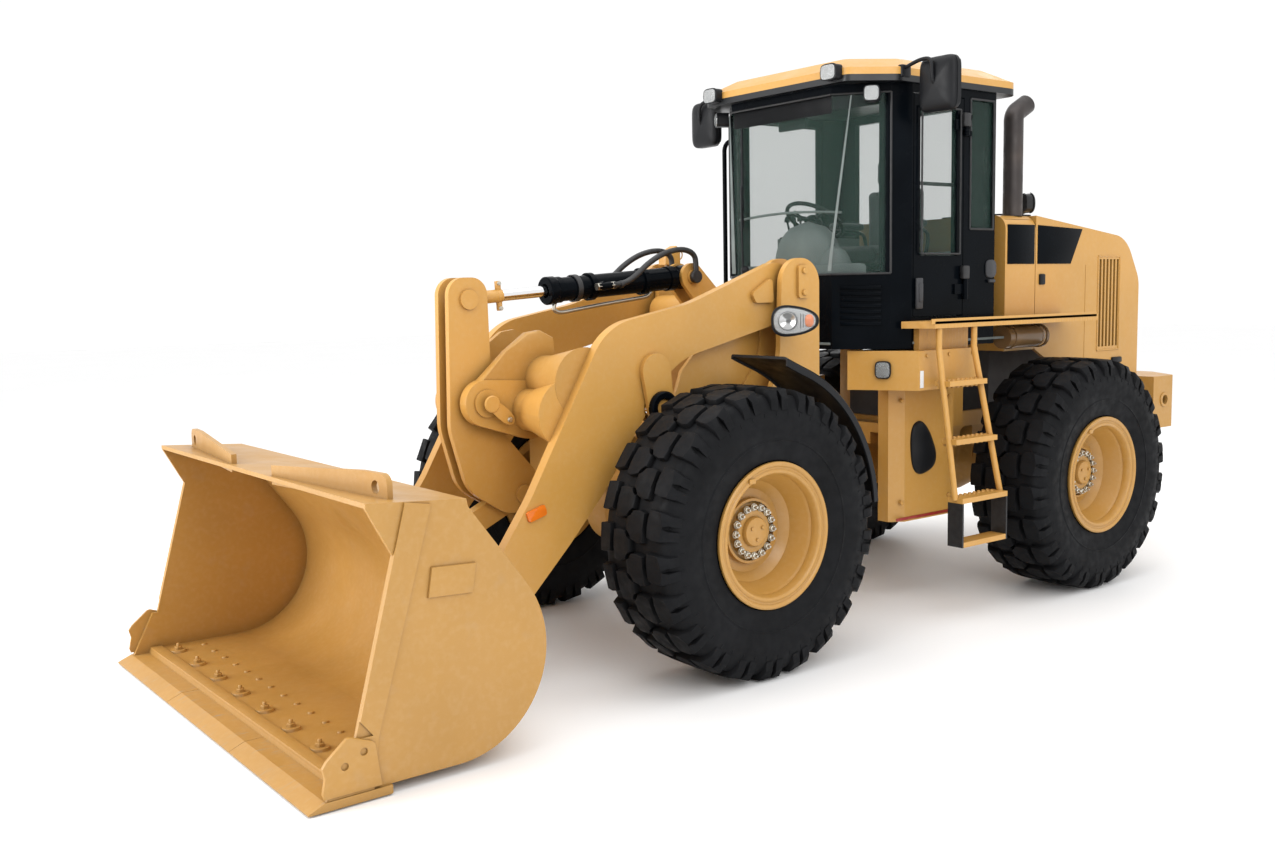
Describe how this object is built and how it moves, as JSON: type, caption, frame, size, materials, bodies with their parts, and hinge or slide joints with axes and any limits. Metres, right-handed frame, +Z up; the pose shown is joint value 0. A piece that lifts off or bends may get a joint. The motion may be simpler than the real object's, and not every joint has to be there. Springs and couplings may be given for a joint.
{
  "type": "wheel loader",
  "caption": "Articulated wheel loader with a glazed cab, Z-bar lift arms, a wide bucket with a bolt-on edge and lugged tyres.",
  "frame": {"origin": "centre of the bounding box at the ground the tyres stand on", "axes": "+X forward towards the bucket, +Y to the machine's left, +Z up"},
  "size_m": [7.002, 2.53, 3.23],
  "materials": {
    "paint_yellow": "semi-gloss",
    "paint_black": "satin",
    "cast": "painted cast",
    "chrome": "polished",
    "tyre": "matte",
    "glass": "tinted",
    "lens": "clear",
    "plastic": "matte",
    "fabric": "woven",
    "exhaust": "heat-stained",
    "engine": "cast",
    "rubber": "matte"
  },
  "bodies": {
    "rear_frame": {"rear_frame": "paint_yellow", "rear_axle": "cast", "engine": "engine", "gearbox": "engine", "counterweight": "cast", "cab_floor": "paint_black", "cab_frame": "paint_black", "cab_roof": "paint_yellow", "windshield": "glass", "cab_glass": "glass", "seat": "fabric", "steering": "plastic", "console": "plastic", "cab_lamps": "plastic", "mirrors": "plastic", "grab_rail": "paint_black", "cowl": "paint_yellow", "exhaust": "exhaust", "side_box_left": "paint_yellow", "side_box_right": "paint_yellow", "walkway_left": "paint_yellow", "walkway_right": "paint_yellow", "ladder": "paint_yellow", "ladder_straps": "rubber", "side_duct": "exhaust"},
    "front_frame": {"front_frame": "paint_yellow", "tower_plates": "paint_yellow", "tower_pins": "paint_yellow", "front_axle": "cast", "front_fenders": "plastic", "headlamps": "plastic", "headlamp_lenses": "lens"},
    "boom": {"lift_arms": "paint_yellow"},
    "bucket": {"bucket_shell": "paint_yellow", "bucket_edge": "paint_yellow"},
    "bell_crank": {"bell_crank": "paint_yellow"},
    "tilt_link": {"tilt_link": "paint_yellow"},
    "tilt_barrel": {"tilt_barrel": "paint_black", "tilt_hoses": "rubber"},
    "tilt_rod": {"tilt_rod": "chrome"},
    "lift_barrels": {"lift_barrels": "paint_black"},
    "lift_rods": {"lift_rods": "chrome"},
    "steer_barrel_left": {"steer_barrel_left": "paint_black"},
    "steer_barrel_right": {"steer_barrel_right": "paint_black"},
    "steer_rod_left": {"steer_rod_left": "chrome"},
    "steer_rod_right": {"steer_rod_right": "chrome"},
    "door": {"door": "paint_black", "door_glass": "glass"},
    "hood": {"hood": "paint_yellow", "hood_cap": "plastic", "tail_lamps": "lens"},
    "wheel_front_left": {"rim_front_left": "paint_yellow", "tyre_front_left": "tyre"},
    "wheel_front_right": {"rim_front_right": "paint_yellow", "tyre_front_right": "tyre"},
    "wheel_rear_left": {"rim_rear_left": "paint_yellow", "tyre_rear_left": "tyre"},
    "wheel_rear_right": {"rim_rear_right": "paint_yellow", "tyre_rear_right": "tyre"}
  },
  "joints": [
    {"name": "steer", "type": "hinge", "parent": "rear_frame", "child": "front_frame", "pos_m": [-0.366, 0, 0.75], "axis": [0, 0, 1], "range_deg": [-37, 37]},
    {"name": "lift", "type": "hinge", "parent": "front_frame", "child": "boom", "pos_m": [0.279, 0, 1.94], "axis": [0, -1, 0], "range_deg": [-3, 85]},
    {"name": "tilt", "type": "hinge", "parent": "boom", "child": "bucket", "pos_m": [2.269, 0, 0.41], "axis": [0, 1, 0], "range_deg": [-40, 125]},
    {"name": "crank", "type": "hinge", "parent": "boom", "child": "bell_crank", "pos_m": [2.029, 0, 1.38], "axis": [0, 1, 0], "range_deg": [-24.94, 8.32]},
    {"name": "link", "type": "hinge", "parent": "bucket", "child": "tilt_link", "pos_m": [2.369, 0, 0.6], "axis": [0, 1, 0], "range_deg": [-96.39, 31.18]},
    {"name": "tilt_barrel_swing", "type": "hinge", "parent": "front_frame", "child": "tilt_barrel", "pos_m": [0.599, 0, 2], "axis": [0, -1, 0], "range_deg": [-3.96, 98.65]},
    {"name": "tilt_rod_slide", "type": "slide", "parent": "tilt_barrel", "child": "tilt_rod", "axis": [0.9977, 0, -0.0681], "range_m": [-0.0506, 0.0196]},
    {"name": "lift_barrel_swing", "type": "hinge", "parent": "front_frame", "child": "lift_barrels", "pos_m": [0.049, 0, 0.64], "axis": [0, -1, 0], "range_deg": [-1.82, 37.98]},
    {"name": "lift_rod_slide", "type": "slide", "parent": "lift_barrels", "child": "lift_rods", "axis": [0.8669, 0, 0.4985], "range_m": [-0.0408, 1.0184]},
    {"name": "steer_barrel_left_swing", "type": "hinge", "parent": "rear_frame", "child": "steer_barrel_left", "pos_m": [-1.116, 0.38, 0.66], "axis": [0, 0, 1], "range_deg": [-6.69, 6.69]},
    {"name": "steer_rod_left_slide", "type": "slide", "parent": "steer_barrel_left", "child": "steer_rod_left", "axis": [0.9986, -0.0526, 0], "range_m": [-0.2161, 0.2161]},
    {"name": "steer_barrel_right_swing", "type": "hinge", "parent": "rear_frame", "child": "steer_barrel_right", "pos_m": [-1.116, -0.38, 0.66], "axis": [0, 0, 1], "range_deg": [-6.69, 6.69]},
    {"name": "steer_rod_right_slide", "type": "slide", "parent": "steer_barrel_right", "child": "steer_rod_right", "axis": [0.9986, 0.0526, 0], "range_m": [-0.2161, 0.2161]},
    {"name": "door", "type": "hinge", "parent": "rear_frame", "child": "door", "pos_m": [-0.966, 0.768, 2.4], "axis": [0, 0, 1], "range_deg": [0, 100]},
    {"name": "hood", "type": "hinge", "parent": "rear_frame", "child": "hood", "pos_m": [-3.081, 0, 1.3], "axis": [0, -1, 0], "range_deg": [0, 55]},
    {"name": "roll_front_left", "type": "hinge", "parent": "front_frame", "child": "wheel_front_left", "pos_m": [1.049, 0.97, 0.72679], "axis": [0, 1, 0], "continuous": true},
    {"name": "roll_front_right", "type": "hinge", "parent": "front_frame", "child": "wheel_front_right", "pos_m": [1.049, -0.97, 0.72679], "axis": [0, 1, 0], "continuous": true},
    {"name": "roll_rear_left", "type": "hinge", "parent": "rear_frame", "child": "wheel_rear_left", "pos_m": [-1.781, 0.97, 0.72679], "axis": [0, 1, 0], "continuous": true},
    {"name": "roll_rear_right", "type": "hinge", "parent": "rear_frame", "child": "wheel_rear_right", "pos_m": [-1.781, -0.97, 0.72679], "axis": [0, 1, 0], "continuous": true}
  ],
  "couplings": [
    {"joint": "crank", "follows": "tilt", "ratio": -0.1955},
    {"joint": "link", "follows": "tilt", "ratio": -0.7671},
    {"joint": "tilt_barrel_swing", "follows": "lift", "ratio": 1.1547},
    {"joint": "tilt_rod_slide", "follows": "tilt", "m_per_rad": -0.0209},
    {"joint": "lift_barrel_swing", "follows": "lift", "ratio": 0.44094},
    {"joint": "lift_rod_slide", "follows": "lift", "m_per_rad": 0.68308},
    {"joint": "steer_barrel_left_swing", "follows": "steer", "ratio": 0.16725},
    {"joint": "steer_rod_left_slide", "follows": "steer", "m_per_rad": -0.3269},
    {"joint": "steer_barrel_right_swing", "follows": "steer", "ratio": 0.16725},
    {"joint": "steer_rod_right_slide", "follows": "steer", "m_per_rad": 0.3269}
  ]
}
